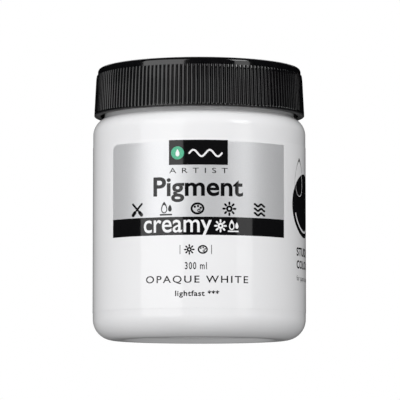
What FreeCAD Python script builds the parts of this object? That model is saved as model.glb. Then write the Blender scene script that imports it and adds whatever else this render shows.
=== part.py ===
import FreeCAD, Part
import math
import os
from FreeCAD import Vector

# Screw-lid jar of artist's paint, about 300 ml.  A white pot with a threaded neck, closed by a foil
# membrane with a pull tab and by a black ribbed screw lid with a foam liner.  A film label is wrapped
# round the pot and overlaps itself at the back.
# Millimetres.  +Z is up, the origin is the centre of the base, and the label's front faces -Y.

# Overall sizes
BODY_DIAMETER = 75.0         # outside of the pot's wall
TOTAL_HEIGHT = 96.0          # standing ring to lid top

# Pot
JAR_WALL = 1.3
HEEL_RADIUS = 7.4            # outside round between wall and base
SHOULDER_RADIUS = 6.5        # outside round between wall and neck
SHOULDER_GAP = 0.3           # crown of the shoulder below the lid's lower edge
BASE_RECESS = 1.5            # push-up of the base above the standing ring
RING_WIDTH = 3.0             # flat standing ring
RECESS_SLOPE_WIDTH = 3.0     # from the standing ring in to the flat of the push-up
NECK_STEP = 4.1              # wall in to the neck's thread root
NECK_WALL = 1.4
NECK_FOOT_ROUND = 2.0        # hollow round between shoulder and neck
RIM_ROUND = 0.4

# Thread, single start and right-handed, the same helix on neck and lid
THREAD_PITCH = 4.233
THREAD_TURNS = 1.25
THREAD_DEPTH = 1.2
THREAD_ROOT_WIDTH = 2.2
THREAD_CREST_WIDTH = 1.1
THREAD_DROP = 2.8            # rim down to the middle of the neck thread's upper end
THREAD_ANCHOR = 0.3          # how far a thread's root is buried in its wall
THREAD_CLEARANCE = 0.45      # crest to the wall facing it

# Lid
LID_HEIGHT = 17.0
LID_PANEL = 1.4              # thickness of the top panel
SKIRT_WALL = 1.6             # at the lower edge, inside wall to rib groove
SKIRT_DRAFT = 0.7            # how much the ribbed skirt narrows from its lower edge to its top
RIB_COUNT = 150
RIB_DEPTH = 0.5
RIB_CREST_SHARE = 0.42       # shares of one rib's pitch
RIB_GROOVE_SHARE = 0.14
BAND_HEIGHT = 2.6            # smooth band above the ribs
BAND_STEP = 0.55             # rib crests in to the smooth band
BAND_ROUND = 1.3
EDGE_HEIGHT = 0.5            # plain edge below the ribs
EDGE_ROUND = 0.35

# Liner, membrane and tab
LINER_THICKNESS = 1.0
LINER_GAP = 0.4              # liner's edge to the lid's inside wall
SEAL_THICKNESS = 0.15
SEAL_INSET = 0.1             # membrane's edge inside the rim's outer edge
TAB_THICKNESS = 0.15
TAB_INSET = 0.7              # tab's edge inside the membrane's edge

# Label and paint
LABEL_THICKNESS = 0.08
LABEL_GLUE = 0.02
LABEL_LAP = 6.0              # width of the overlap at the back
LABEL_HEEL_MARGIN = 2.2      # label's lower edge above the heel's round
LABEL_SHOULDER_MARGIN = 4.5  # label's upper edge below the shoulder's round
HEADSPACE = 17.1             # rim down to the paint
PAINT_GAP = 0.05             # paint to the pot's inside

# Derived places
BODY_RADIUS = BODY_DIAMETER / 2
LID_BOTTOM = TOTAL_HEIGHT - LID_HEIGHT
PANEL_BOTTOM = TOTAL_HEIGHT - LID_PANEL
LINER_BOTTOM = PANEL_BOTTOM - LINER_THICKNESS
TAB_BOTTOM = LINER_BOTTOM - TAB_THICKNESS
RIM = TAB_BOTTOM - SEAL_THICKNESS
CROWN = LID_BOTTOM - SHOULDER_GAP
SHOULDER_START = CROWN - SHOULDER_RADIUS
NECK_RADIUS = BODY_RADIUS - NECK_STEP
BORE_RADIUS = NECK_RADIUS - NECK_WALL
NECK_OFFSET = NECK_RADIUS - (BODY_RADIUS - SHOULDER_RADIUS)
NECK_FOOT = SHOULDER_START + math.sqrt(SHOULDER_RADIUS**2 - NECK_OFFSET**2)
NECK_CREST = NECK_RADIUS + THREAD_DEPTH
SKIRT_INSIDE = NECK_CREST + THREAD_CLEARANCE
LID_CREST = NECK_RADIUS + THREAD_CLEARANCE
RIB_CREST_LOW = SKIRT_INSIDE + SKIRT_WALL + RIB_DEPTH
RIB_CREST_HIGH = RIB_CREST_LOW - SKIRT_DRAFT
BAND_RADIUS = RIB_CREST_HIGH - BAND_STEP
SEAL_RADIUS = NECK_RADIUS - SEAL_INSET
LABEL_INSIDE = BODY_RADIUS + LABEL_GLUE
LABEL_OUTSIDE = LABEL_INSIDE + LABEL_THICKNESS
LABEL_BOTTOM = HEEL_RADIUS + LABEL_HEEL_MARGIN
LABEL_TOP = SHOULDER_START - LABEL_SHOULDER_MARGIN
NECK_THREAD_START = RIM - THREAD_DROP - THREAD_TURNS * THREAD_PITCH


def line(start, end):
    """Straight edge in the XZ plane between two (radius, height) points."""
    return Part.makeLine(Vector(start[0], 0, start[1]), Vector(end[0], 0, end[1]))


def arc(centre, radius, from_deg, to_deg):
    """Arc in the XZ plane about a (radius, height) centre, angles from +X towards +Z."""
    angles = (from_deg, (from_deg + to_deg) / 2, to_deg)
    points = [
        Vector(
            centre[0] + radius * math.cos(math.radians(a)),
            0,
            centre[1] + radius * math.sin(math.radians(a)),
        )
        for a in angles
    ]
    return Part.Arc(*points).toShape()


def revolve(edges):
    """Solid of revolution about Z from a closed outline in the XZ plane."""
    face = Part.Face(Part.Wire(edges))
    return face.revolve(Vector(0, 0, 0), Vector(0, 0, 1), 360)


def disc(radius, bottom, thickness):
    """Flat round plate standing on the height bottom."""
    return Part.makeCylinder(radius, thickness, Vector(0, 0, bottom))


def pot(inset):
    """The pot's body without its neck, with every face drawn inwards by inset."""
    radius = BODY_RADIUS - inset
    heel = HEEL_RADIUS - inset
    shoulder = SHOULDER_RADIUS - inset
    heel_centre = (BODY_RADIUS - HEEL_RADIUS, HEEL_RADIUS)
    shoulder_centre = (BODY_RADIUS - SHOULDER_RADIUS, SHOULDER_START)
    ring_inside = heel_centre[0] - RING_WIDTH
    flat_radius = ring_inside - RECESS_SLOPE_WIDTH
    raised = BASE_RECESS + inset
    crown = CROWN - inset
    return revolve([
        line((0, raised), (flat_radius, raised)),
        line((flat_radius, raised), (ring_inside, inset)),
        line((ring_inside, inset), (heel_centre[0], inset)),
        arc(heel_centre, heel, -90, 0),
        line((radius, HEEL_RADIUS), (radius, SHOULDER_START)),
        arc(shoulder_centre, shoulder, 0, 90),
        line((shoulder_centre[0], crown), (0, crown)),
        line((0, crown), (0, raised)),
    ])


def thread(wall_radius, crest_radius, start):
    """Ridge of trapezoid section along a right-hand helix, from the height start upwards.

    The section stands on wall_radius, buried in it a little, and points to crest_radius."""
    outward = 1 if crest_radius > wall_radius else -1
    buried = wall_radius - outward * THREAD_ANCHOR
    root = THREAD_ROOT_WIDTH / 2
    crest = THREAD_CREST_WIDTH / 2
    section = Part.makePolygon([
        Vector(buried, 0, -root),
        Vector(wall_radius, 0, -root),
        Vector(crest_radius, 0, -crest),
        Vector(crest_radius, 0, crest),
        Vector(wall_radius, 0, root),
        Vector(buried, 0, root),
        Vector(buried, 0, -root),
    ])
    helix = Part.makeLongHelix(THREAD_PITCH, THREAD_PITCH * THREAD_TURNS, wall_radius)
    ridge = Part.Wire(helix.Edges).makePipeShell([section], True, True)
    ridge.translate(Vector(0, 0, start))
    return ridge


def level_edges(shape, height):
    """Edges that lie flat at one height."""
    return [
        edge for edge in shape.Edges
        if abs(edge.BoundBox.ZMin - height) < 0.001 and abs(edge.BoundBox.ZMax - height) < 0.001
    ]


def jar():
    """Pot and neck in one moulding, with a hollow round at the neck's foot, a rounded rim and a thread."""
    neck_bottom = CROWN - JAR_WALL
    neck = disc(NECK_RADIUS, neck_bottom, RIM - neck_bottom)
    bore = disc(BORE_RADIUS, SHOULDER_START, RIM - SHOULDER_START)
    shell = pot(0).fuse(neck).cut(pot(JAR_WALL)).cut(bore)
    shell = shell.makeFillet(NECK_FOOT_ROUND, level_edges(shell, NECK_FOOT))
    shell = shell.makeFillet(RIM_ROUND, level_edges(shell, RIM))
    return shell.fuse(thread(NECK_RADIUS, NECK_CREST, NECK_THREAD_START))


def rib_outline(crest_radius, height):
    """Closed outline of all the ribs at one height: flat crest, slope, narrow groove, slope."""
    pitch = 2 * math.pi / RIB_COUNT
    groove_radius = crest_radius - RIB_DEPTH
    half_crest = pitch * RIB_CREST_SHARE / 2
    half_groove = pitch * RIB_GROOVE_SHARE / 2
    corners = (
        (-half_crest, crest_radius),
        (half_crest, crest_radius),
        (pitch / 2 - half_groove, groove_radius),
        (pitch / 2 + half_groove, groove_radius),
    )
    points = []
    for index in range(RIB_COUNT):
        for offset, radius in corners:
            angle = index * pitch + offset
            points.append(Vector(radius * math.cos(angle), radius * math.sin(angle), height))
    return Part.makePolygon(points + points[:1])


def lid():
    """Screw lid: plain lower edge, ribbed skirt, smooth band, top panel and inside thread."""
    ribs_bottom = LID_BOTTOM + EDGE_HEIGHT
    ribs_top = TOTAL_HEIGHT - BAND_HEIGHT
    edge_radius = RIB_CREST_LOW
    ribs = Part.makeLoft(
        [rib_outline(RIB_CREST_LOW, ribs_bottom), rib_outline(RIB_CREST_HIGH, ribs_top)], True, True
    )
    lower_edge = revolve([
        line((0, LID_BOTTOM), (edge_radius - EDGE_ROUND, LID_BOTTOM)),
        arc((edge_radius - EDGE_ROUND, LID_BOTTOM + EDGE_ROUND), EDGE_ROUND, -90, 0),
        line((edge_radius, LID_BOTTOM + EDGE_ROUND), (edge_radius, ribs_bottom)),
        line((edge_radius, ribs_bottom), (0, ribs_bottom)),
        line((0, ribs_bottom), (0, LID_BOTTOM)),
    ])
    band = revolve([
        line((0, ribs_top), (BAND_RADIUS, ribs_top)),
        line((BAND_RADIUS, ribs_top), (BAND_RADIUS, TOTAL_HEIGHT - BAND_ROUND)),
        arc((BAND_RADIUS - BAND_ROUND, TOTAL_HEIGHT - BAND_ROUND), BAND_ROUND, 0, 90),
        line((BAND_RADIUS - BAND_ROUND, TOTAL_HEIGHT), (0, TOTAL_HEIGHT)),
        line((0, TOTAL_HEIGHT), (0, ribs_top)),
    ])
    hollow = disc(SKIRT_INSIDE, LID_BOTTOM, PANEL_BOTTOM - LID_BOTTOM)
    shell = ribs.fuse(lower_edge).fuse(band).cut(hollow)
    return shell.fuse(thread(SKIRT_INSIDE, LID_CREST, NECK_THREAD_START - THREAD_PITCH / 2))


def lid_liner():
    """Foam disc pressed up under the lid's panel."""
    return disc(SKIRT_INSIDE - LINER_GAP, LINER_BOTTOM, LINER_THICKNESS)


def foil_seal():
    """Membrane welded to the rim."""
    return disc(SEAL_RADIUS, RIM, SEAL_THICKNESS)


def seal_pull_tab():
    """Half-moon tab on the front half of the membrane."""
    tab_radius = SEAL_RADIUS - TAB_INSET
    return Part.makeCylinder(
        tab_radius, TAB_THICKNESS, Vector(0, 0, TAB_BOTTOM), Vector(0, 0, 1), 180
    ).rotated(Vector(0, 0, 0), Vector(0, 0, 1), 180)


def wrap_label():
    """Film sleeve round the pot, doubled where its end laps over its start at the back."""
    height = LABEL_TOP - LABEL_BOTTOM
    lap_deg = math.degrees(LABEL_LAP / LABEL_OUTSIDE)
    film = disc(LABEL_OUTSIDE, LABEL_BOTTOM, height)
    lap = Part.makeCylinder(
        LABEL_OUTSIDE + LABEL_THICKNESS,
        height,
        Vector(0, 0, LABEL_BOTTOM),
        Vector(0, 0, 1),
        lap_deg,
    ).rotated(Vector(0, 0, 0), Vector(0, 0, 1), 90 - lap_deg / 2)
    return film.fuse(lap).cut(disc(LABEL_INSIDE, LABEL_BOTTOM, height))


def paint():
    """Paint filling the pot up to the headspace."""
    level = RIM - HEADSPACE
    return pot(JAR_WALL + PAINT_GAP).common(disc(BODY_RADIUS, 0, level))


os.makedirs("parts", exist_ok=True)
for piece in (jar, lid, lid_liner, foil_seal, seal_pull_tab, wrap_label, paint):
    shape = piece()
    shape.exportStep("parts/" + piece.__name__ + ".step")
    volume = round(shape.Volume, 1)
    print(piece.__name__, "solids", len(shape.Solids), "valid", shape.isValid(), "mm3", volume)
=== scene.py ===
import math
import bmesh
import bpy
import numpy as np
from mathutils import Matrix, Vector


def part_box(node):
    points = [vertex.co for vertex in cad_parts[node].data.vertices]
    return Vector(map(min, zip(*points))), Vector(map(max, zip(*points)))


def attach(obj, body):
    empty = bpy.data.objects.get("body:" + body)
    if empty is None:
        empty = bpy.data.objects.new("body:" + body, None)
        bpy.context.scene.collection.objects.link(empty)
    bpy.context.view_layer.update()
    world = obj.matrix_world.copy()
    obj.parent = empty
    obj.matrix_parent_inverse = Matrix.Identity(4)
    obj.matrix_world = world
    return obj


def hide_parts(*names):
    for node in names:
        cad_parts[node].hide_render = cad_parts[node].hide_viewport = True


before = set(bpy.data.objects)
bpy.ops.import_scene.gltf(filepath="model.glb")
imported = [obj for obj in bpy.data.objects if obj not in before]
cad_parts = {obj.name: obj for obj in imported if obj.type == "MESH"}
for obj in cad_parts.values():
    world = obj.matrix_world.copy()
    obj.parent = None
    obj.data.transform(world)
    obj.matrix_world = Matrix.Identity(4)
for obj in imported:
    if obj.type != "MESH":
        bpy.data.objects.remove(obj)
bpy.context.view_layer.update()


# ---- The pot ----
# A white polypropylene pot, injection moulded in one piece.  The base is pushed up inside a standing
# ring, heel and shoulder are rounded, and the neck carries a single right-hand thread below a smooth rim.

MM = 0.001
pot_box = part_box("jar")
lid_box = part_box("lid")
WALL_RADIUS = pot_box[1].x
RIM_HEIGHT = pot_box[1].z
LID_EDGE = lid_box[0].z
LID_TOP = lid_box[1].z
POT_WALL = 1.3 * MM
HEEL = 7.4 * MM
SHOULDER = 6.5 * MM
CROWN = LID_EDGE - 0.3 * MM
PUSH_UP = 1.5 * MM
STANDING_RING = 3.0 * MM
PUSH_UP_SLOPE = 3.0 * MM
NECK_RADIUS = WALL_RADIUS - 4.1 * MM
NECK_WALL = 1.4 * MM
NECK_FOOT_ROUND = 2.0 * MM
RIM_ROUND = 0.4 * MM
PITCH = 4.233 * MM
THREAD_TURNS = 1.25
THREAD_DEPTH = 1.2 * MM
THREAD_CLEARANCE = 0.45 * MM
THREAD_ROOT = 1.1 * MM
THREAD_CREST = 0.55 * MM
THREAD_START = RIM_HEIGHT - 2.8 * MM - THREAD_TURNS * PITCH
RUN_OUT = math.radians(16)
POT_COLUMNS = 480
CENTRE = 0.5 * MM  # radius at which a surface stops short of the axis, to be shut by a fan


def straight(start, end, count):
    """Points (radius, height) spaced evenly from start to end, without the end itself."""
    share = np.linspace(0, 1, count, endpoint=False)[:, None]
    return np.array(start) * (1 - share) + np.array(end) * share


def rounded(centre, radius, from_deg, to_deg, count):
    """Points of a circular arc about centre, angles from outwards towards upwards, without its end."""
    angle = np.radians(np.linspace(from_deg, to_deg, count, endpoint=False))
    return np.stack([centre[0] + radius * np.cos(angle), centre[1] + radius * np.sin(angle)], 1)


def full_turn(columns):
    """Angles of evenly spaced columns round the axis."""
    return 2 * np.pi * np.arange(columns) / columns


def turned(radius, height, angle):
    """Rings of points about the upright axis, one ring for each row of radius and height."""
    radius, height, angle = np.broadcast_arrays(radius, height, angle)
    return np.stack([radius * np.cos(angle), radius * np.sin(angle), height], -1)


def skin(rings, closed=False):
    """Points and faces over rings of points, an array (rings, around, 3).

    Neighbouring rings are joined by quads.  A closed skin joins its last ring to its first; an open one
    has each end shut by a fan of triangles about the end ring's mean point."""
    count, around = rings.shape[:2]
    index = np.arange(count * around).reshape(count, around)
    low, high = (index, np.roll(index, -1, 0)) if closed else (index[:-1], index[1:])
    quads = np.stack([low, np.roll(low, -1, 1), np.roll(high, -1, 1), high], -1).reshape(-1, 4)
    points = rings.reshape(-1, 3)
    if closed:
        return points, quads.tolist()
    first, last = index[0], index[-1]
    centre = np.full(around, count * around)
    fan_first = np.stack([centre, np.roll(first, -1), first], -1)
    fan_last = np.stack([centre + 1, last, np.roll(last, -1)], -1)
    points = np.concatenate([points, rings[0].mean(0)[None], rings[-1].mean(0)[None]])
    return points, quads.tolist() + fan_first.tolist() + fan_last.tolist()


def piece(name, parts, material, body, sharp_deg=35):
    """One object from parts, each (points, faces), shaded smooth up to an edge angle, riding on a body."""
    points, faces, offset = [], [], 0
    for part_points, part_faces in parts:
        points.append(part_points)
        faces += [[corner + offset for corner in face] for face in part_faces]
        offset += len(part_points)
    mesh = bpy.data.meshes.new(name)
    mesh.from_pydata(np.concatenate(points).tolist(), [], faces)
    mesh.shade_smooth()
    mesh.set_sharp_from_angle(angle=math.radians(sharp_deg))
    mesh.materials.append(material)
    made = bpy.data.objects.new(name, mesh)
    bpy.context.scene.collection.objects.link(made)
    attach(made, body)
    return made


def link(tree, source, target):
    """Joins an output socket to an input socket."""
    tree.links.new(source, target)


def node(tree, kind, **values):
    """A shader node with its properties set."""
    made = tree.nodes.new(kind)
    for key, value in values.items():
        setattr(made, key, value)
    return made


def noise(tree, size, detail=3.0, stretch=(1, 1, 1)):
    """Noise in Object coordinates whose lumps are about size metres, squeezed by stretch."""
    place = node(tree, "ShaderNodeTexCoord")
    mapping = node(tree, "ShaderNodeMapping")
    mapping.inputs["Scale"].default_value = stretch
    made = node(tree, "ShaderNodeTexNoise")
    made.inputs["Scale"].default_value = 1 / size
    made.inputs["Detail"].default_value = detail
    link(tree, place.outputs["Object"], mapping.inputs["Vector"])
    link(tree, mapping.outputs["Vector"], made.inputs["Vector"])
    return made.outputs["Fac"]


def spread(tree, value, low, high):
    """Maps a noise's middle range, 0.3 to 0.7, to the range from low to high."""
    made = node(tree, "ShaderNodeMapRange")
    made.inputs["From Min"].default_value = 0.3
    made.inputs["From Max"].default_value = 0.7
    made.inputs["To Min"].default_value = low
    made.inputs["To Max"].default_value = high
    link(tree, value, made.inputs["Value"])
    return made.outputs["Result"]


def tinted(tree, value, dark, light):
    """Colour between dark and light as value goes over a noise's middle range."""
    made = node(tree, "ShaderNodeMix", data_type="RGBA")
    made.inputs["A"].default_value = (*dark, 1)
    made.inputs["B"].default_value = (*light, 1)
    link(tree, spread(tree, value, 0, 1), made.inputs["Factor"])
    return made.outputs["Result"]


def bumped(tree, value, depth, shader, under=None):
    """Bump of the given depth in metres from a value of 0 to 1, laid over another bump."""
    made = node(tree, "ShaderNodeBump")
    made.inputs["Strength"].default_value = 1.0
    made.inputs["Distance"].default_value = depth
    link(tree, value, made.inputs["Height"])
    if under is not None:
        link(tree, under, made.inputs["Normal"])
    if shader is not None:
        link(tree, made.outputs["Normal"], shader.inputs["Normal"])
    return made.outputs["Normal"]


def new_finish(name):
    """A new material with its node tree and its Principled shader."""
    made = bpy.data.materials.new(name)
    made.use_nodes = True
    return made, made.node_tree, made.node_tree.nodes["Principled BSDF"]


def thread_ridge(angle, height, start):
    """How far the thread stands out, from 0 to 1, at each angle and height.

    The ridge's middle climbs one pitch a turn from the height start.  The section is full within
    THREAD_CREST of the middle, falls evenly to nothing at THREAD_ROOT, and runs out at both ends."""
    ridge = np.zeros(np.broadcast(angle, height).shape)
    for turn in range(math.ceil(THREAD_TURNS)):
        along = angle + 2 * np.pi * turn
        middle = start + PITCH * along / (2 * np.pi)
        section = np.clip((THREAD_ROOT - abs(height - middle)) / (THREAD_ROOT - THREAD_CREST), 0, 1)
        left = 2 * np.pi * THREAD_TURNS - along
        ends = np.clip(np.minimum(along, left) / RUN_OUT, 0, 1)
        ridge = np.maximum(ridge, section * ends)
    return ridge


def white_plastic():
    """Moulded white polypropylene: a soft sheen, faint cloudiness, and a fine skin from the mould."""
    made, tree, shader = new_finish("white_polypropylene")
    cloud = noise(tree, 22 * MM, 4.0)
    link(tree, tinted(tree, cloud, (0.80, 0.80, 0.81), (0.83, 0.83, 0.84)), shader.inputs["Base Color"])
    link(tree, spread(tree, noise(tree, 6 * MM), 0.10, 0.15), shader.inputs["Roughness"])
    ripple = bumped(tree, noise(tree, 5 * MM, 1.0), 0.008 * MM, None)
    bumped(tree, noise(tree, 0.35 * MM, 2.0), 0.0006 * MM, shader, ripple)
    shader.inputs["Subsurface Weight"].default_value = 0.12
    shader.inputs["Subsurface Radius"].default_value = (0.0022, 0.0021, 0.0020)
    shader.inputs["IOR"].default_value = 1.49
    return made


heel_centre = (WALL_RADIUS - HEEL, HEEL)
shoulder_centre = (WALL_RADIUS - SHOULDER, CROWN - SHOULDER)
ring_inside = heel_centre[0] - STANDING_RING
flat_radius = ring_inside - PUSH_UP_SLOPE
foot_across = NECK_RADIUS + NECK_FOOT_ROUND - shoulder_centre[0]
foot_up = math.sqrt((SHOULDER + NECK_FOOT_ROUND) ** 2 - foot_across**2)
foot_centre = (NECK_RADIUS + NECK_FOOT_ROUND, shoulder_centre[1] + foot_up)
foot_deg = math.degrees(math.atan2(foot_up, foot_across))
bore = NECK_RADIUS - NECK_WALL
inner_shoulder = SHOULDER - POT_WALL
bore_meets = math.sqrt(inner_shoulder**2 - (bore - shoulder_centre[0])**2)
bore_deg = math.degrees(math.atan2(bore_meets, bore - shoulder_centre[0]))
inner_wall = WALL_RADIUS - POT_WALL
outside = np.concatenate([
    straight((CENTRE, PUSH_UP), (flat_radius, PUSH_UP), 4),
    straight((flat_radius, PUSH_UP), (ring_inside, 0), 5),
    straight((ring_inside, 0), (heel_centre[0], 0), 3),
    rounded(heel_centre, HEEL, -90, 0, 16),
    straight((WALL_RADIUS, HEEL), (WALL_RADIUS, shoulder_centre[1]), 5),
    rounded(shoulder_centre, SHOULDER, 0, foot_deg, 14),
    rounded(foot_centre, NECK_FOOT_ROUND, foot_deg + 180, 180, 8),
])
neck = straight((NECK_RADIUS, foot_centre[1]), (NECK_RADIUS, RIM_HEIGHT - RIM_ROUND), 60)
inside = np.concatenate([
    rounded((NECK_RADIUS - RIM_ROUND, RIM_HEIGHT - RIM_ROUND), RIM_ROUND, 0, 90, 5),
    rounded((bore + RIM_ROUND, RIM_HEIGHT - RIM_ROUND), RIM_ROUND, 90, 180, 5),
    straight((bore, RIM_HEIGHT - RIM_ROUND), (bore, shoulder_centre[1] + bore_meets), 5),
    rounded(shoulder_centre, inner_shoulder, bore_deg, 0, 7),
    straight((inner_wall, shoulder_centre[1]), (inner_wall, HEEL), 3),
    rounded(heel_centre, HEEL - POT_WALL, 0, -90, 6),
    straight((heel_centre[0], POT_WALL), (ring_inside, POT_WALL), 2),
    straight((ring_inside, POT_WALL), (flat_radius, PUSH_UP + POT_WALL), 2),
    straight((flat_radius, PUSH_UP + POT_WALL), (CENTRE, PUSH_UP + POT_WALL), 3),
])
pot_angle = full_turn(POT_COLUMNS)
threaded = neck[:, :1] + THREAD_DEPTH * thread_ridge(pot_angle, neck[:, 1:], THREAD_START)
pot_rings = np.concatenate([
    turned(outside[:, :1], outside[:, 1:], pot_angle),
    turned(threaded, neck[:, 1:], pot_angle),
    turned(inside[:, :1], inside[:, 1:], pot_angle),
])
pot = piece("pot", [skin(pot_rings)], white_plastic(), "jar")
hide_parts("jar")


# ---- The paint ----
# White heavy-body acrylic, poured in while warm.  It meets the wall in a small meniscus, and its top
# keeps soft swirls from the filling nozzle.

paint_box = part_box("paint")
PAINT_LEVEL = paint_box[1].z
PAINT_GAP = 0.05 * MM
SWIRL_HEIGHT = 0.55 * MM
MENISCUS = 0.8 * MM
MENISCUS_WIDTH = 1.6 * MM
PAINT_COLUMNS = 240


def swirled(radius, angle, edge):
    """Height of the paint's top above the foot of its meniscus.

    Two spiral waves fade towards the wall, and there the height grows as e to the power of the distance
    from the wall over MENISCUS_WIDTH, less than nothing."""
    share = radius / edge
    spiral = np.sin(3 * angle + 7 * share) * 0.6 + np.sin(5 * angle - 13 * share + 1.3) * 0.4
    climb = np.exp(-(edge - radius) / MENISCUS_WIDTH)
    return SWIRL_HEIGHT * spiral * share * (1 - share**4) * 1.6 + MENISCUS * climb


def wet_paint():
    """Wet white acrylic: bright, smooth and glossy, with a few soft pits."""
    made, tree, shader = new_finish("wet_white_acrylic")
    tone = tinted(tree, noise(tree, 9 * MM), (0.86, 0.86, 0.85), (0.90, 0.90, 0.89))
    link(tree, tone, shader.inputs["Base Color"])
    link(tree, spread(tree, noise(tree, 4 * MM), 0.10, 0.22), shader.inputs["Roughness"])
    bumped(tree, noise(tree, 2.5 * MM, 2.0), 0.08 * MM, shader)
    return made


paint_wall = inner_wall - PAINT_GAP
paint_floor = PUSH_UP + POT_WALL + PAINT_GAP
paint_outline = np.concatenate([
    straight((CENTRE, paint_floor), (flat_radius, paint_floor), 2),
    straight((flat_radius, paint_floor), (ring_inside, POT_WALL + PAINT_GAP), 2),
    rounded(heel_centre, HEEL - POT_WALL - PAINT_GAP, -90, 0, 6),
    straight((paint_wall, HEEL), (paint_wall, shoulder_centre[1]), 3),
])
paint_climb_deg = math.degrees(math.asin((PAINT_LEVEL - shoulder_centre[1]) / (inner_shoulder - PAINT_GAP)))
paint_shoulder = rounded(shoulder_centre, inner_shoulder - PAINT_GAP, 0, paint_climb_deg, 6)
paint_edge = paint_shoulder[-1, 0]
top_radius = np.linspace(paint_edge, CENTRE, 60)[:, None]
paint_angle = full_turn(PAINT_COLUMNS)
paint_top = paint_shoulder[-1, 1] - MENISCUS + swirled(top_radius, paint_angle, paint_edge)
paint_rings = np.concatenate([
    turned(paint_outline[:, :1], paint_outline[:, 1:], paint_angle),
    turned(paint_shoulder[:-1, :1], paint_shoulder[:-1, 1:], paint_angle),
    turned(top_radius, paint_top, paint_angle),
])
paint = piece("paint_fill", [skin(paint_rings)], wet_paint(), "jar")
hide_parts("paint")


# ---- The foil membrane ----
# Lacquered aluminium foil, welded flat to the rim by induction.  The middle sags a little into the mouth
# with fine creases.

foil_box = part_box("foil_seal")
FOIL_RADIUS = foil_box[1].x
FOIL_LOW = foil_box[0].z
FOIL_HIGH = foil_box[1].z
FOIL_SAG = 0.30 * MM
FOIL_ROUND = 0.03 * MM
FOIL_COLUMNS = 240


def foil_dip(radius, angle):
    """How far the foil hangs below the rim: nothing over the rim, and inside it a bowl with creases.

    With t the way in from the rim, the bowl is t squared times three less twice t."""
    inward = np.clip((bore - 0.4 * MM - radius) / (bore * 0.5), 0, 1)
    bowl = inward * inward * (3 - 2 * inward)
    crease = 0.5 + 0.5 * np.sin(11 * angle + 4 * np.sin(2 * angle)) * np.sin(17 * radius / bore)
    return FOIL_SAG * bowl * (0.75 + 0.25 * crease)


def foil_metal():
    """Lacquered foil: bright rolled aluminium with small creases and a fine rolling grain."""
    made, tree, shader = new_finish("lacquered_foil")
    tone = tinted(tree, noise(tree, 12 * MM), (0.76, 0.77, 0.78), (0.86, 0.87, 0.88))
    link(tree, tone, shader.inputs["Base Color"])
    grain = noise(tree, 0.8 * MM, 2.0, (1, 0.06, 1))
    link(tree, spread(tree, grain, 0.24, 0.36), shader.inputs["Roughness"])
    crumple = bumped(tree, noise(tree, 7 * MM, 4.0), 0.20 * MM, None)
    bumped(tree, noise(tree, 1.1 * MM, 2.0), 0.012 * MM, shader, crumple)
    shader.inputs["Metallic"].default_value = 1.0
    return made


foil_radius = np.linspace(CENTRE, FOIL_RADIUS - FOIL_ROUND, 70)[:, None]
foil_angle = full_turn(FOIL_COLUMNS)
dip = foil_dip(foil_radius, foil_angle)
foil_rings = np.concatenate([
    turned(foil_radius, FOIL_LOW - dip, foil_angle),
    turned(np.full((1, 1), FOIL_RADIUS), np.full((1, 1), (FOIL_LOW + FOIL_HIGH) / 2), foil_angle),
    turned(foil_radius[::-1], FOIL_HIGH - dip[::-1], foil_angle),
])
foil = piece("foil_membrane", [skin(foil_rings)], foil_metal(), "seal")
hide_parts("foil_seal")


# ---- The pull tab ----
# A half moon of clear blue polyester film, bonded to the foil along the middle line and free towards the
# front, so that a finger can lift it.

tab_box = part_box("seal_pull_tab")
TAB_RADIUS = tab_box[1].x
TAB_LOW = tab_box[0].z
TAB_HIGH = tab_box[1].z


def ribbon(edge_a, edge_b, place, low, high, closed=False):
    """Points and faces of a thin flat strip between two edges, arrays (points, 2).

    Edge b lies to the left of edge a.  Place maps flat (x, y, lift) to space, and the strip is solid from
    the lift low to the lift high."""
    corners = ((edge_a, high), (edge_a, low), (edge_b, low), (edge_b, high))
    rings = np.stack([place(edge[:, 0], edge[:, 1], lift) for edge, lift in corners], 1)
    return skin(rings, closed)


def level(x, y, lift):
    """Flat place that lies level: x to the right, y to the back, lift upwards."""
    return np.stack([x, y, np.broadcast_to(lift, x.shape)], -1)


def tab_film():
    """Blue polyester film: smooth, with a faint hatch of printed lines."""
    made, tree, shader = new_finish("tab_film_blue")
    tone = tinted(tree, noise(tree, 1.4 * MM, 1.0, (1, 0.05, 1)), (0.30, 0.52, 0.70), (0.38, 0.60, 0.76))
    link(tree, tone, shader.inputs["Base Color"])
    link(tree, spread(tree, noise(tree, 5 * MM), 0.16, 0.26), shader.inputs["Roughness"])
    bumped(tree, noise(tree, 6 * MM, 2.0), 0.06 * MM, shader)
    return made


tab_x = TAB_RADIUS * np.sin(np.linspace(-np.pi / 2, np.pi / 2, 121))[1:-1]
tab_front = np.stack([tab_x, -np.sqrt(TAB_RADIUS**2 - tab_x**2)], 1)
tab_back = np.stack([tab_x, np.full_like(tab_x, -0.05 * MM)], 1)
tab_part = ribbon(tab_front, tab_back, level, TAB_LOW, TAB_HIGH)
tab = piece("pull_tab", [tab_part], tab_film(), "seal")
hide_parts("seal_pull_tab")


# ---- The foam liner ----
# A disc of white closed-cell polyethylene foam, punched from sheet and pressed up under the lid's panel.
# The rim has left a shallow ring in its lower face.

liner_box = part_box("lid_liner")
LINER_RADIUS = liner_box[1].x
LINER_LOW = liner_box[0].z
LINER_HIGH = liner_box[1].z
LINER_ROUND = 0.18 * MM
RIM_PRINT_DEPTH = 0.10 * MM


def foam():
    """Closed-cell foam: matt and white, with a dense skin of small cells."""
    made, tree, shader = new_finish("liner_foam_white")
    tone = tinted(tree, noise(tree, 0.5 * MM, 2.0), (0.78, 0.78, 0.76), (0.86, 0.86, 0.84))
    link(tree, tone, shader.inputs["Base Color"])
    link(tree, spread(tree, noise(tree, 0.7 * MM), 0.60, 0.78), shader.inputs["Roughness"])
    bumped(tree, noise(tree, 0.45 * MM, 3.0), 0.05 * MM, shader)
    return made


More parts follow.
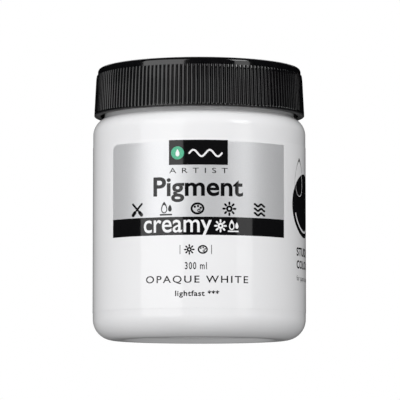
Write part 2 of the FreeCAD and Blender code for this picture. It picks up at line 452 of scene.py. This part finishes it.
under = np.linspace(CENTRE, LINER_RADIUS - LINER_ROUND, 80)
rim_middle = NECK_RADIUS - NECK_WALL / 2
rim_print = RIM_PRINT_DEPTH * np.clip(1.6 - abs(under - rim_middle) / (NECK_WALL / 2), 0, 1)
liner_outline = np.concatenate([
    np.stack([under, LINER_LOW + rim_print], 1),
    rounded((LINER_RADIUS - LINER_ROUND, LINER_LOW + LINER_ROUND), LINER_ROUND, -90, 0, 4),
    rounded((LINER_RADIUS - LINER_ROUND, LINER_HIGH - LINER_ROUND), LINER_ROUND, 0, 90, 4),
    straight((LINER_RADIUS - LINER_ROUND, LINER_HIGH), (CENTRE, LINER_HIGH), 4),
])
liner_rings = turned(liner_outline[:, :1], liner_outline[:, 1:], full_turn(240))
liner = piece("foam_liner", [skin(liner_rings)], foam(), "liner")
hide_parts("lid_liner")


# ---- The screw lid ----
# Black polypropylene, injection moulded.  150 fine ribs with a little draft run round the skirt from a
# plain lower edge to a smooth band under the rounded top, and the thread stands on the inside.

RIB_COUNT = 150
RIB_STEPS = np.array([0, 0.30, 0.55, 0.78, 1, 1.22, 1.45, 1.70])
RIB_CREST_LOW = lid_box[1].x
SKIRT_DRAFT = 0.7 * MM
RIB_DEPTH = 0.5 * MM
RIB_LEAN = 0.14 * MM
RIB_LEAN_FROM = 0.85
BAND_HEIGHT = 2.6 * MM
BAND_STEP = 0.55 * MM
BAND_ROUND = 1.3 * MM
EDGE_HEIGHT = 0.5 * MM
EDGE_ROUND = 0.35 * MM
MATT_HEIGHT = LID_EDGE + 0.42 * MM
EDGE_BLEND = 0.04 * MM
SKIRT_INSIDE = NECK_RADIUS + THREAD_DEPTH + THREAD_CLEARANCE
LID_THREAD_DEPTH = SKIRT_INSIDE - NECK_RADIUS - THREAD_CLEARANCE
THREAD_ZONE_TOP = THREAD_START + 1.1 * PITCH
THREAD_ZONE_FOOT = THREAD_START - 0.85 * PITCH
PANEL_LOW = LINER_HIGH
GATE_RADIUS = 1.3 * MM
GATE_DEPTH = 0.15 * MM


def rib_height(height, low, high):
    """How far the ribs stand out of their grooves at each height and column, as a share of their depth.

    Across one rib it is the root of one less a power of the distance from the crest.  A low power gives the
    rounder crests of the lower part, and a high one the flatter crests near the top."""
    across = np.tile(abs((RIB_STEPS + 1) % 2 - 1), RIB_COUNT)
    climb = np.clip((height - low) / (high - low), 0, 1)
    power = 2.0 + 1.2 * np.clip((climb - 0.60) / 0.15, 0, 1)
    return np.sqrt(1 - np.minimum(across, 0.9999) ** power)


def black_plastic():
    """Moulded black polypropylene with faint wear and dust.

    The skirt comes glossy from a polished mould, and the lower edge, below MATT_HEIGHT, is eroded matt."""
    made, tree, shader = new_finish("black_polypropylene")
    tone = tinted(tree, noise(tree, 3 * MM, 4.0), (0.0025, 0.0025, 0.003), (0.0045, 0.0045, 0.005))
    link(tree, tone, shader.inputs["Base Color"])
    place = node(tree, "ShaderNodeTexCoord")
    parts = node(tree, "ShaderNodeSeparateXYZ")
    matt = node(tree, "ShaderNodeMapRange")
    matt.inputs["From Min"].default_value = MATT_HEIGHT - EDGE_BLEND
    matt.inputs["From Max"].default_value = MATT_HEIGHT + EDGE_BLEND
    matt.inputs["To Min"].default_value = 0.45
    matt.inputs["To Max"].default_value = 0.0
    link(tree, place.outputs["Object"], parts.inputs["Vector"])
    link(tree, parts.outputs["Z"], matt.inputs["Value"])
    rough = node(tree, "ShaderNodeMath", operation="ADD")
    link(tree, spread(tree, noise(tree, 2.5 * MM, 4.0), 0.07, 0.12), rough.inputs[0])
    link(tree, matt.outputs["Result"], rough.inputs[1])
    link(tree, rough.outputs["Value"], shader.inputs["Roughness"])
    bumped(tree, noise(tree, 0.16 * MM, 2.0), 0.0015 * MM, shader)
    shader.inputs["IOR"].default_value = 1.66
    return made


ribs_low = LID_EDGE + EDGE_HEIGHT
ribs_high = LID_TOP - BAND_HEIGHT
band_radius = RIB_CREST_LOW - SKIRT_DRAFT - BAND_STEP
edge_inside = RIB_CREST_LOW - EDGE_ROUND
lid_inside = np.concatenate([
    straight((CENTRE, PANEL_LOW), (SKIRT_INSIDE, PANEL_LOW), 3),
    straight((SKIRT_INSIDE, PANEL_LOW), (SKIRT_INSIDE, THREAD_ZONE_TOP), 2),
])
lid_threaded = straight((SKIRT_INSIDE, THREAD_ZONE_TOP), (SKIRT_INSIDE, THREAD_ZONE_FOOT), 27)
lid_lower = np.concatenate([
    straight((SKIRT_INSIDE, THREAD_ZONE_FOOT), (SKIRT_INSIDE, LID_EDGE), 1),
    straight((SKIRT_INSIDE, LID_EDGE), (edge_inside, LID_EDGE), 2),
    rounded((edge_inside, LID_EDGE + EDGE_ROUND), EDGE_ROUND, -90, 0, 5),
    straight((RIB_CREST_LOW, LID_EDGE + EDGE_ROUND), (RIB_CREST_LOW, ribs_low), 1),
])
lid_upper = np.concatenate([
    straight((band_radius, ribs_high), (band_radius, LID_TOP - BAND_ROUND), 2),
    rounded((band_radius - BAND_ROUND, LID_TOP - BAND_ROUND), BAND_ROUND, 0, 90, 8),
    straight((band_radius - BAND_ROUND, LID_TOP), (2 * GATE_RADIUS, LID_TOP), 3),
    straight((2 * GATE_RADIUS, LID_TOP), (1.3 * GATE_RADIUS, LID_TOP), 2),
    straight((1.3 * GATE_RADIUS, LID_TOP), (GATE_RADIUS, LID_TOP - GATE_DEPTH), 2),
    straight((GATE_RADIUS, LID_TOP - GATE_DEPTH), (0.3 * MM, LID_TOP - GATE_DEPTH), 2),
])
lid_angle = np.pi / RIB_COUNT * (2 * np.arange(RIB_COUNT)[:, None] + RIB_STEPS).ravel()
lid_ridge = thread_ridge(lid_angle, lid_threaded[:, 1:], THREAD_START - PITCH / 2)
rib_climb = np.array([0, 0.02, 0.05, 0.3, 0.58, 0.63, 0.7, 0.77, 0.85, 0.90, 0.95, 1])[:, None]
rib_rows = ribs_low + (ribs_high - ribs_low) * rib_climb
rib_lean = RIB_LEAN * np.clip((rib_climb - RIB_LEAN_FROM) / (1 - RIB_LEAN_FROM), 0, 1) ** 2
rib_crest = RIB_CREST_LOW - SKIRT_DRAFT * rib_climb - rib_lean
rib_out = rib_height(rib_rows, ribs_low, ribs_high)
rib_out[0] = 1.0
rib_radius = rib_crest - RIB_DEPTH * (1 - rib_out)
lid_rings = np.concatenate([
    turned(lid_inside[:, :1], lid_inside[:, 1:], lid_angle),
    turned(SKIRT_INSIDE - LID_THREAD_DEPTH * lid_ridge, lid_threaded[:, 1:], lid_angle),
    turned(lid_lower[:, :1], lid_lower[:, 1:], lid_angle),
    turned(rib_radius, rib_rows, lid_angle),
    turned(lid_upper[:, :1], lid_upper[:, 1:], lid_angle),
])
lid = piece("screw_lid", [skin(lid_rings)], black_plastic(), "lid", 60)
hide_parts("lid")


# ---- The label film ----
# White polypropylene film, printed and cut, wrapped round the pot by machine.  Its end laps over its
# start by 6 mm at the back, where the glue line shows as a small step.

label_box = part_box("wrap_label")
LABEL_LOW = label_box[0].z
LABEL_HIGH = label_box[1].z
FILM_INSIDE = WALL_RADIUS + 0.02 * MM
FILM_THICKNESS = 0.055 * MM
LAP = 6.0 * MM
LAP_SLOPE = 0.6 * MM
LAP_GLUE = 0.004 * MM
PRINT_RADIUS = FILM_INSIDE + FILM_THICKNESS


def on_wall(x, y, lift):
    """Place on the label: x runs round it from the front to the right, y is the height, lift outwards."""
    angle = x / PRINT_RADIUS
    radius = PRINT_RADIUS + lift
    return np.stack([radius * np.sin(angle), -radius * np.cos(angle), y], -1)


def label_film():
    """Printed white film: even and semi-gloss, with a slight orange peel."""
    made, tree, shader = new_finish("label_film_white")
    tone = tinted(tree, noise(tree, 30 * MM, 2.0), (0.815, 0.815, 0.825), (0.835, 0.835, 0.845))
    link(tree, tone, shader.inputs["Base Color"])
    link(tree, spread(tree, noise(tree, 5 * MM), 0.05, 0.09), shader.inputs["Roughness"])
    bumped(tree, noise(tree, 3.5 * MM, 1.0), 0.003 * MM, shader)
    shader.inputs["IOR"].default_value = 1.49
    return made


half_turn = math.pi * PRINT_RADIUS
film_x = np.linspace(-half_turn - LAP / 2, half_turn + LAP / 2, 721)
lap_share = np.clip((film_x - (half_turn - LAP / 2)) / LAP_SLOPE, 0, 1)
step_up = lap_share * (FILM_THICKNESS + LAP_GLUE)
film_bottom = np.stack([film_x, np.full_like(film_x, LABEL_LOW)], 1)
film_top = np.stack([film_x, np.full_like(film_x, LABEL_HIGH)], 1)
film_part = ribbon(film_bottom, film_top, on_wall, step_up - FILM_THICKNESS, step_up)
film = piece("label_film", [film_part], label_film(), "jar", 60)
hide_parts("wrap_label")


# ---- The silver panel and the black print areas ----
# A block of silver ink on the label's front, with a black strip along its foot and a black box for a
# plain mark at its head.  Each ink is a thin raised layer on the film.

INK = 0.007 * MM
PANEL_LEFT, PANEL_RIGHT = -34.4 * MM, 33.5 * MM
PANEL_LOW_EDGE, PANEL_HIGH_EDGE = 40.7 * MM, 66.65 * MM
STRIP_LOW_EDGE = 34.45 * MM
PANEL_CORNER = 2.4 * MM
MARK_LEFT, MARK_RIGHT = -10.5 * MM, 9.9 * MM
MARK_LOW, MARK_HIGH = 58.5 * MM, 67.05 * MM


def block(left, right, low, high, layer, corner=0.0):
    """A rectangle of ink with its upper left corner rounded, on the given layer of ink.

    At a distance d inside an end, the top edge lies under the straight line by the corner's arc."""
    x = np.linspace(left, right, max(3, int((right - left) / (0.6 * MM))))
    if corner:
        arc = corner * (1 - np.cos(np.linspace(0, np.pi / 2, 8)))
        x = np.unique(np.concatenate([x, left + arc]))
    inset = np.clip(corner - (x - left), 0, None)
    drop = corner - np.sqrt(np.maximum(corner**2 - inset**2, 0))
    bottom = np.stack([x, np.full_like(x, low)], 1)
    top = np.stack([x, high - drop], 1)
    return ribbon(bottom, top, on_wall, -0.5 * INK, (layer + 1) * INK)


def silver_ink():
    """Silver ink: fine aluminium flake in varnish, brighter where it faces a light."""
    made, tree, shader = new_finish("silver_ink")
    tone = tinted(tree, noise(tree, 0.12 * MM, 2.0), (0.74, 0.745, 0.76), (0.84, 0.845, 0.86))
    link(tree, tone, shader.inputs["Base Color"])
    link(tree, spread(tree, noise(tree, 0.3 * MM), 0.36, 0.46), shader.inputs["Roughness"])
    bumped(tree, noise(tree, 0.10 * MM, 1.0), 0.003 * MM, shader)
    shader.inputs["Metallic"].default_value = 0.5
    return made


def print_ink(name, dark, light, rough_low, rough_high):
    """Solid printing ink: dark to light mottle, and a smooth varnish over the film's peel."""
    made, tree, shader = new_finish(name)
    link(tree, tinted(tree, noise(tree, 0.5 * MM, 3.0), dark, light), shader.inputs["Base Color"])
    link(tree, spread(tree, noise(tree, 3 * MM), rough_low, rough_high), shader.inputs["Roughness"])
    bumped(tree, noise(tree, 3.5 * MM, 1.0), 0.003 * MM, shader)
    shader.inputs["IOR"].default_value = 1.49
    return made


black_ink = print_ink("black_ink", (0.004, 0.004, 0.0045), (0.006, 0.006, 0.0065), 0.05, 0.09)
white_ink = print_ink("white_ink", (0.80, 0.80, 0.81), (0.86, 0.86, 0.87), 0.10, 0.14)
green_ink = print_ink("green_ink", (0.05, 0.36, 0.20), (0.08, 0.46, 0.27), 0.10, 0.14)
panel_part = block(PANEL_LEFT, PANEL_RIGHT, PANEL_LOW_EDGE, PANEL_HIGH_EDGE, 0, PANEL_CORNER)
piece("label_silver_panel", [panel_part], silver_ink(), "jar", 60)
black_parts = [
    block(PANEL_LEFT, PANEL_RIGHT, STRIP_LOW_EDGE, PANEL_LOW_EDGE - 0.02 * MM, 0),
    block(MARK_LEFT, MARK_RIGHT, MARK_LOW, MARK_HIGH, 1),
]
piece("label_black_areas", black_parts, black_ink, "jar", 60)


# ---- The printed words and signs ----
# Everything else on the label, offset printed over the film and its inks.  Names and marks are plain
# signs and everyday words, as on any shop's own jar.

TEXT_SLICE = 0.7 * MM
PICTOGRAM = 2.2 * MM


def stroke(path, width, layer=1, loop=False):
    """A line of ink of the given width along path, points (x, y).

    An open line ends in half circles: there the half width falls as the cosine while the point runs on as
    the sine of the same angle."""
    path = np.asarray(path, float)
    half = np.full(len(path), width / 2)
    along = (np.roll(path, -1, 0) - np.roll(path, 1, 0)) if loop else np.gradient(path, axis=0)
    along = along / np.linalg.norm(along, axis=1)[:, None]
    if not loop:
        lean = np.radians([84, 62, 40, 20])
        first = path[0] - along[0] * (width / 2) * np.sin(lean)[:, None]
        last = path[-1] + along[-1] * (width / 2) * np.sin(lean[::-1])[:, None]
        path = np.concatenate([first, path, last])
        along = np.concatenate([np.repeat(along[:1], 4, 0), along, np.repeat(along[-1:], 4, 0)])
        half = np.concatenate([np.cos(lean) * width / 2, half, np.cos(lean[::-1]) * width / 2])
    side = np.stack([-along[:, 1], along[:, 0]], 1) * half[:, None]
    return ribbon(path - side, path + side, on_wall, -0.5 * INK, (layer + 1) * INK, loop)


def line(x1, y1, x2, y2, count=9):
    """Points of a straight line."""
    return np.stack([np.linspace(x1, x2, count), np.linspace(y1, y2, count)], 1)


def arc(x, y, radius_x, radius_y, from_deg, to_deg, count=33):
    """Points of an elliptical arc, angles from the right towards the top."""
    angle = np.radians(np.linspace(from_deg, to_deg, count))
    return np.stack([x + radius_x * np.cos(angle), y + radius_y * np.sin(angle)], 1)


def ring(x, y, radius_x, radius_y, width, layer=1, count=36):
    """An elliptical ring of ink."""
    return stroke(arc(x, y, radius_x, radius_y, 0, 360, count + 1)[:-1], width, layer, True)


def dot(x, y, radius_x, radius_y, layer=1, count=33):
    """A filled ellipse of ink."""
    turn = np.linspace(np.pi, 0, count)[1:-1]
    across = x + radius_x * np.cos(turn)
    lower = np.stack([across, y - radius_y * np.sin(turn)], 1)
    upper = np.stack([across, y + radius_y * np.sin(turn)], 1)
    return ribbon(lower, upper, on_wall, -0.5 * INK, (layer + 1) * INK)


def drop(x, y, size, layer=1):
    """A filled drop.

    Its half width at a share t of its height goes as the root of t times the 0.9th power of one less t."""
    share = np.linspace(0.0005, 0.9995, 40)
    half = 0.85 * size * np.sqrt(share) * (1 - share) ** 0.9 * 1.6
    height = y + size * (2 * share - 0.9)
    right = np.stack([x + half, height], 1)
    left = np.stack([x - half, height], 1)
    return ribbon(right, left, on_wall, -0.5 * INK, (layer + 1) * INK)


def wave(x, y, half_length, height, cycles):
    """Points of a sine wave centred on (x, y)."""
    share = np.linspace(-1, 1, 50)
    return np.stack([x + half_length * share, y + height * np.sin(np.pi * cycles * share)], 1)


def words(text, left, base, width, height, thick=0.0, spacing=1.0, layer=1):
    """Words in the built-in typeface, fitted between left and left + width.

    The tallest letter reaches height above the base line.  The flat letters are cut into upright slices,
    and then every corner is laid on the wall."""
    data = bpy.data.curves.new(text, "FONT")
    data.body = text
    data.offset = thick
    data.space_character = spacing
    data.resolution_u = 5
    data.extrude = 0.5
    flat = bpy.data.objects.new(text, data)
    mesh = bpy.data.meshes.new_from_object(flat)
    cut = bmesh.new()
    cut.from_mesh(mesh)
    bmesh.ops.remove_doubles(cut, verts=cut.verts, dist=0.0002)
    found = np.array([corner.co[:] for corner in cut.verts])
    low_x, high_x, high_y = found[:, 0].min(), found[:, 0].max(), found[:, 1].max()
    stretch = width / (high_x - low_x)
    for slice_x in np.arange(TEXT_SLICE, width, TEXT_SLICE) / stretch + low_x:
        everything = cut.verts[:] + cut.edges[:] + cut.faces[:]
        bmesh.ops.bisect_plane(cut, geom=everything, plane_co=(slice_x, 0, 0), plane_no=(1, 0, 0))
    cut.verts.index_update()
    found = np.array([corner.co[:] for corner in cut.verts])
    faces = [[corner.index for corner in face.verts] for face in cut.faces]
    cut.free()
    bpy.data.objects.remove(flat)
    bpy.data.curves.remove(data)
    bpy.data.meshes.remove(mesh)
    x = left + (found[:, 0] - low_x) * stretch
    y = base + found[:, 1] * height / high_y
    lift = np.where(found[:, 2] > 0, (layer + 1) * INK, -0.5 * INK)
    return on_wall(x, y, lift), faces


def brushes_sign(x, y, size, layer=1):
    """Two brushes laid crosswise, tips down."""
    made = []
    for side in (-1, 1):
        handle = line(x - side * 0.15 * size, y - 0.1 * size, x + side * 0.85 * size, y + 0.9 * size)
        tip = line(x - side * 0.80 * size, y - 0.80 * size, x - side * 0.45 * size, y - 0.42 * size)
        made += [stroke(handle, 0.34 * size, layer), stroke(tip, 0.58 * size, layer)]
    return made


def palette_sign(x, y, size, layer=1):
    """A palette: an oval with a thumb hole and three dabs."""
    oval = ring(x, y, 0.92 * size, 0.78 * size, 0.32 * size, layer)
    hole = ring(x + 0.22 * size, y - 0.30 * size, 0.18 * size, 0.18 * size, 0.16 * size, layer)
    dabs = [(-0.42, 0.26), (0.08, 0.38), (0.50, 0.10)]
    dab = 0.18 * size
    return [oval, hole] + [dot(x + across * size, y + up * size, dab, dab, layer, 15) for across, up in dabs]


def sun_sign(x, y, size, layer=1):
    """A sun with eight rays."""
    made = [ring(x, y, 0.36 * size, 0.36 * size, 0.34 * size, layer)]
    for turn in np.radians(np.arange(0, 360, 45)):
        across, up = size * np.cos(turn), size * np.sin(turn)
        ray = line(x + 0.72 * across, y + 0.72 * up, x + 0.98 * across, y + 0.98 * up, 3)
        made.append(stroke(ray, 0.32 * size, layer))
    return made


def drops_sign(x, y, size, layer=1):
    """A large drop beside a small one over a line."""
    foot = line(x - 0.9 * size, y - 0.92 * size, x + 0.9 * size, y - 0.92 * size)
    large = drop(x - 0.28 * size, y + 0.12 * size, 0.92 * size, layer)
    small = drop(x + 0.66 * size, y + 0.05 * size, 0.55 * size, layer)
    return [large, small, stroke(foot, 0.24 * size, layer)]


def waves_sign(x, y, size, layer=1):
    """Three waves one over another."""
    rows = [wave(x, y + row * size, 0.92 * size, 0.17 * size, 1.5) for row in (-0.70, 0, 0.70)]
    return [stroke(row, 0.34 * size, layer) for row in rows]


SIGN_HEIGHT = 43.5 * MM
STRIP_SIGN_HEIGHT = 37.6 * MM
STRIP_SIGN = 1.95 * MM
SHADE_SIGN_HEIGHT = 29.5 * MM
SHADE_SIGN = 1.6 * MM
BAR_WIDTH = 0.22 * MM
EMBLEM_X, EMBLEM_Y = 50.4 * MM, 46.6 * MM
EMBLEM_DROP_X = 44.6 * MM
MARK_X = -7.5 * MM
MARK_Y = 62.5 * MM
MARK_DOT = 2.25 * MM
black_prints = [
    words("ARTIST", -10.4 * MM, 55.65 * MM, 20.2 * MM, 1.8 * MM, 0.0, 1.9),
    words("Pigment", -16.2 * MM, 48.0 * MM, 31.6 * MM, 6.4 * MM, 0.022, 1.0),
    *brushes_sign(-22.6 * MM, SIGN_HEIGHT, PICTOGRAM),
    *drops_sign(-11.6 * MM, SIGN_HEIGHT, PICTOGRAM),
    *palette_sign(-0.6 * MM, SIGN_HEIGHT, PICTOGRAM),
    *sun_sign(10.4 * MM, SIGN_HEIGHT, PICTOGRAM),
    *waves_sign(21.9 * MM, SIGN_HEIGHT, PICTOGRAM),
    stroke(line(-6.6 * MM, 28.0 * MM, -6.6 * MM, 31.0 * MM), BAR_WIDTH),
    stroke(line(4.2 * MM, 28.0 * MM, 4.2 * MM, 31.0 * MM), BAR_WIDTH),
    *sun_sign(-3.4 * MM, SHADE_SIGN_HEIGHT, SHADE_SIGN),
    *palette_sign(1.2 * MM, SHADE_SIGN_HEIGHT, SHADE_SIGN),
    words("300 ml", -4.9 * MM, 22.8 * MM, 7.5 * MM, 2.4 * MM, 0.012, 1.2),
    words("OPAQUE WHITE", -19.0 * MM, 18.2 * MM, 36.3 * MM, 2.4 * MM, 0.010, 1.25),
    words("lightfast ***", -8.3 * MM, 13.7 * MM, 15.2 * MM, 1.9 * MM, 0.022, 1.1),
    words("STUDIO", 42.1 * MM, 28.9 * MM, 15.0 * MM, 2.9 * MM, 0.03, 1.05),
    words("COLOUR", 42.1 * MM, 24.5 * MM, 15.6 * MM, 2.8 * MM, 0.03, 1.05),
    words("for paper, canvas and wood", 42.1 * MM, 20.2 * MM, 24.0 * MM, 1.8 * MM, 0.0, 1.1),
    dot(EMBLEM_X, EMBLEM_Y, 11.6 * MM, 11.2 * MM, 0, 80),
    drop(EMBLEM_DROP_X, 55.2 * MM, 7.2 * MM, 1),
]
piece("label_black_print", black_prints, black_ink, "jar", 60)
white_prints = [
    words("creamy", -19.9 * MM, 35.5 * MM, 24.2 * MM, 4.2 * MM, 0.008, 1.0),
    *sun_sign(7.3 * MM, STRIP_SIGN_HEIGHT, STRIP_SIGN),
    *drops_sign(11.8 * MM, STRIP_SIGN_HEIGHT, STRIP_SIGN),
    stroke(wave(2.2 * MM, MARK_Y, 5.6 * MM, 1.1 * MM, 2.0), 0.62 * MM, 2),
    drop(EMBLEM_DROP_X, 54.75 * MM, 5.8 * MM, 2),
    stroke(arc(EMBLEM_X, EMBLEM_Y, 9.6 * MM, 9.2 * MM, 200, 340, 60), 0.7 * MM, 1),
]
piece("label_white_print", white_prints, white_ink, "jar", 60)
green_dot = dot(MARK_X, MARK_Y + 0.1 * MM, MARK_DOT, MARK_DOT, 2)
piece("label_green_mark", [green_dot], green_ink, "jar", 60)
piece("label_mark_drop", [drop(MARK_X, MARK_Y, 1.25 * MM, 3)], white_ink, "jar", 60)

# Small print on the back: rows of dashes for words that can't be read, a short row ending each paragraph.
BACK_ROWS = 15
PARAGRAPH_ROWS = 5
BACK_LEFT = 80.0 * MM
BACK_TOP = 58.0
ROW_STEP = 2.6
DASH_WIDTH = 0.7 * MM
WORD_SPACE = 1.6 * MM
back_lines = []
greek = np.random.default_rng(7)
for row in range(BACK_ROWS):
    short = row % PARAGRAPH_ROWS == PARAGRAPH_ROWS - 1
    end_x = BACK_LEFT + 14 * MM if short else BACK_LEFT + (26 + 6 * greek.random()) * MM
    height = (BACK_TOP - ROW_STEP * row) * MM
    x_now = BACK_LEFT
    while x_now < end_x:
        word = (2.0 + 4.0 * greek.random()) * MM
        back_lines.append(stroke(line(x_now, height, x_now + word, height, 8), DASH_WIDTH, 0))
        x_now += word + WORD_SPACE
# The same black ink also draws the curved glint inside the emblem's drop.
back_lines.append(stroke(arc(EMBLEM_DROP_X, 53.4 * MM, 2.4 * MM, 2.6 * MM, 200, 265, 16), 0.5 * MM, 3))
piece("label_back_lines", back_lines, black_ink, "jar", 60)


# ---- The world, lights and camera ----
# Surroundings that the eye sees as plain white, and soft boxes in front, at the sides, below and behind.
# The boxes that only fill the shadows aren't mirrored in glossy surfaces.

scene = bpy.context.scene
scene.view_settings.view_transform = "Standard"
BELOW, LEVEL, OVERHEAD = 0.39, 0.01, 0.15
MIRRORED_SHARE = 0.2
BOX_AIM_HEIGHT = 50 * MM

world = bpy.data.worlds.new("studio")
scene.world = world
world.use_nodes = True
world_tree = world.node_tree
background = world_tree.nodes["Background"]
background.inputs["Color"].default_value = (1, 1, 1, 1)
facing = node(world_tree, "ShaderNodeTexCoord")
facing_parts = node(world_tree, "ShaderNodeSeparateXYZ")
link(world_tree, facing.outputs["Generated"], facing_parts.inputs["Vector"])
by_height = node(world_tree, "ShaderNodeMapRange", name="by_height")
by_height.inputs["From Min"].default_value = -0.10
by_height.inputs["From Max"].default_value = 0.0
by_height.inputs["To Min"].default_value = BELOW
by_height.inputs["To Max"].default_value = LEVEL
link(world_tree, facing_parts.outputs["Z"], by_height.inputs["Value"])
paths = node(world_tree, "ShaderNodeLightPath")
dimmer = node(world_tree, "ShaderNodeMapRange", name="dimmer")
dimmer.inputs["To Min"].default_value = 1.0
dimmer.inputs["To Max"].default_value = MIRRORED_SHARE
link(world_tree, paths.outputs["Is Glossy Ray"], dimmer.inputs["Value"])
table = node(world_tree, "ShaderNodeMath", operation="MULTIPLY")
link(world_tree, by_height.outputs["Result"], table.inputs[0])
link(world_tree, dimmer.outputs["Result"], table.inputs[1])
overhead = node(world_tree, "ShaderNodeMapRange", name="overhead")
overhead.inputs["From Min"].default_value = 0.35
overhead.inputs["From Max"].default_value = 0.75
overhead.inputs["To Max"].default_value = OVERHEAD
link(world_tree, facing_parts.outputs["Z"], overhead.inputs["Value"])
soft_only = node(world_tree, "ShaderNodeMath", operation="MULTIPLY")
link(world_tree, overhead.outputs["Result"], soft_only.inputs[0])
link(world_tree, paths.outputs["Is Diffuse Ray"], soft_only.inputs[1])
both = node(world_tree, "ShaderNodeMath", operation="ADD")
link(world_tree, table.outputs["Value"], both.inputs[0])
link(world_tree, soft_only.outputs["Value"], both.inputs[1])
seen = node(world_tree, "ShaderNodeMix", name="seen")
seen.inputs["B"].default_value = 1.0
link(world_tree, paths.outputs["Is Camera Ray"], seen.inputs["Factor"])
link(world_tree, both.outputs["Value"], seen.inputs["A"])
link(world_tree, seen.outputs["Result"], background.inputs["Strength"])


def soft_box(name, azimuth, elevation, distance, width, height, radiance, mirrored=True):
    """A rectangular light facing the object from a distance.

    Azimuth is counted from the front towards the right.  Its power is the radiance of its face times pi
    times its area."""
    data = bpy.data.lights.new(name, "AREA")
    data.shape = "RECTANGLE"
    data.size, data.size_y = width, height
    data.energy = radiance * math.pi * width * height
    made = bpy.data.objects.new(name, data)
    turn, rise = math.radians(azimuth), math.radians(elevation)
    away = Vector((math.sin(turn) * math.cos(rise), -math.cos(turn) * math.cos(rise), math.sin(rise)))
    made.location = away * distance + Vector((0, 0, BOX_AIM_HEIGHT))
    made.rotation_euler = away.to_track_quat("Z", "Y").to_euler()
    made.visible_camera = False
    made.visible_glossy = mirrored
    scene.collection.objects.link(made)


soft_box("box_left", -41, 15.5, 1.3, 1.157, 1.24, 1.67)
soft_box("box_right", 48.5, 31, 1.5, 0.475, 0.475, 5.2)
soft_box("glow_right", 49, 5, 1.5, 0.47, 0.7, 1.25)
soft_box("front_top", 8, 38, 1.5, 1.6, 2.0, 1.35, False)
soft_box("front_level", 5, 5, 1.6, 1.4, 0.8, 0.96, False)
soft_box("low_left", -40, -30, 1.5, 1.0, 0.6, 0.45, False)
soft_box("side_left", -95, 10, 1.4, 1.0, 1.4, 1.35, False)
soft_box("side_right", 85, 10, 1.4, 1.0, 1.4, 0.45, False)
soft_box("back_high", 180, 40, 1.5, 1.2, 0.9, 0.9)

camera_data = bpy.data.cameras.new("camera")
camera = bpy.data.objects.new("camera", camera_data)
scene.collection.objects.link(camera)
scene.camera = camera
CAMERA_DISTANCE = 1.08
CAMERA_ELEVATION = math.radians(-4.9)
CAMERA_ACROSS = 0.25 * MM
CAMERA_LENS = 275.1
AIM_HEIGHT = 49.6 * MM
camera_data.sensor_width = 36
camera_data.lens = CAMERA_LENS
camera_back = CAMERA_DISTANCE * math.cos(CAMERA_ELEVATION)
camera_height = AIM_HEIGHT + CAMERA_DISTANCE * math.sin(CAMERA_ELEVATION)
camera.location = (CAMERA_ACROSS, -camera_back, camera_height)
camera.rotation_euler = (math.pi / 2 - CAMERA_ELEVATION, 0, 0)
camera_data.clip_start = 0.01
camera_data.clip_end = 100
